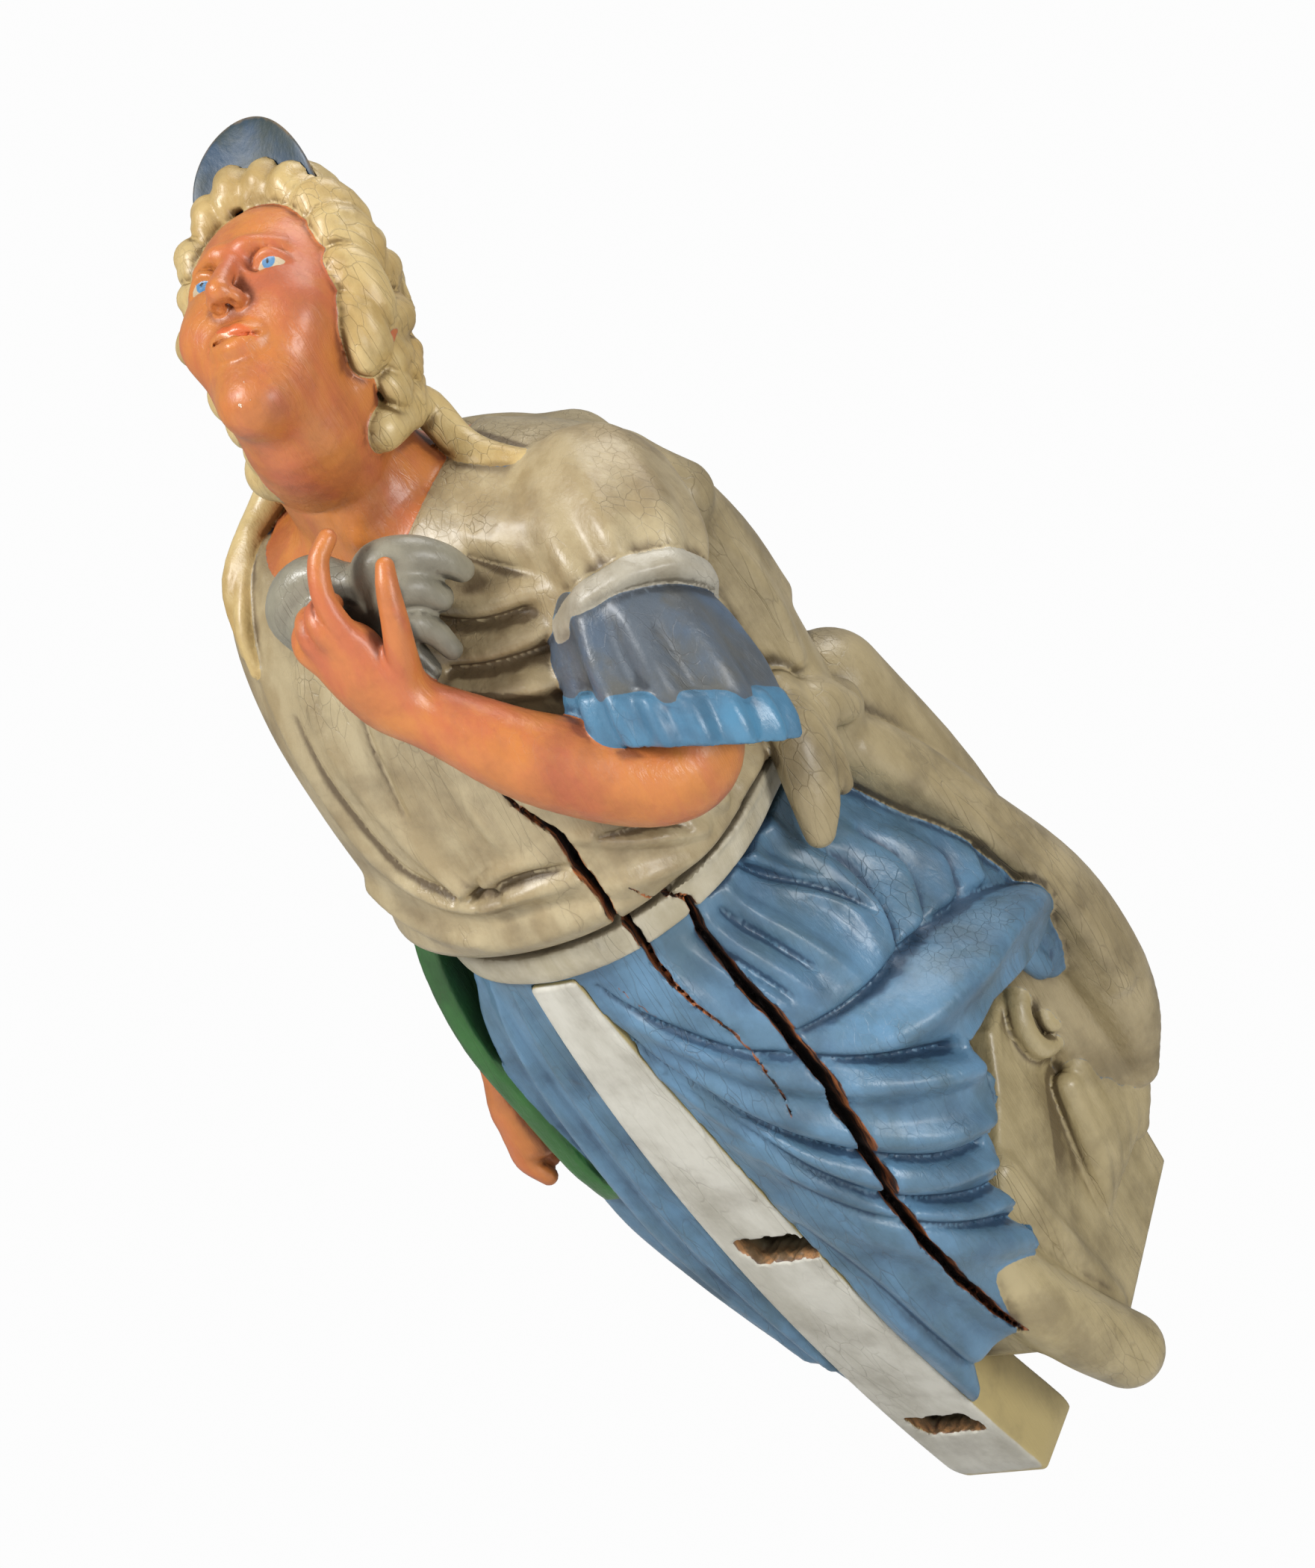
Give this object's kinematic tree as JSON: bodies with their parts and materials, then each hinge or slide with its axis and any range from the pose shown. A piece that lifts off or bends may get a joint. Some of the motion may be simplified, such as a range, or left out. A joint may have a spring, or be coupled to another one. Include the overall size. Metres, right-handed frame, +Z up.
{
  "type": "ship figurehead",
  "caption": "Painted wooden ship figurehead: a leaning woman in blouse and blue skirt, hand at her breast, on a scrolled base with a let-in front timber and bolt holes.",
  "frame": {"origin": "centre of the bolted part of the flat back face, where the figurehead beds against the ship's stem timbers", "axes": "+Z up, the figure faces -Y and leans forward 45 degrees, +X towards the figure's left side"},
  "size_m": [0.6186, 1.3764, 1.2967],
  "materials": {
    "carving": "aged semi-gloss oil paint: blue skirt, grey-cream blouse and mantle, salmon skin, cream-yellow hair, green leaf",
    "timber": "worn off-white oil paint, olive-cream on the tang's sides",
    "diadem": "semi-gloss slate-blue oil paint, rubbed at the rim"
  },
  "bodies": {
    "root": {"figure": "carving", "front_timber": "timber", "diadem": "diadem"}
  },
  "joints": []
}
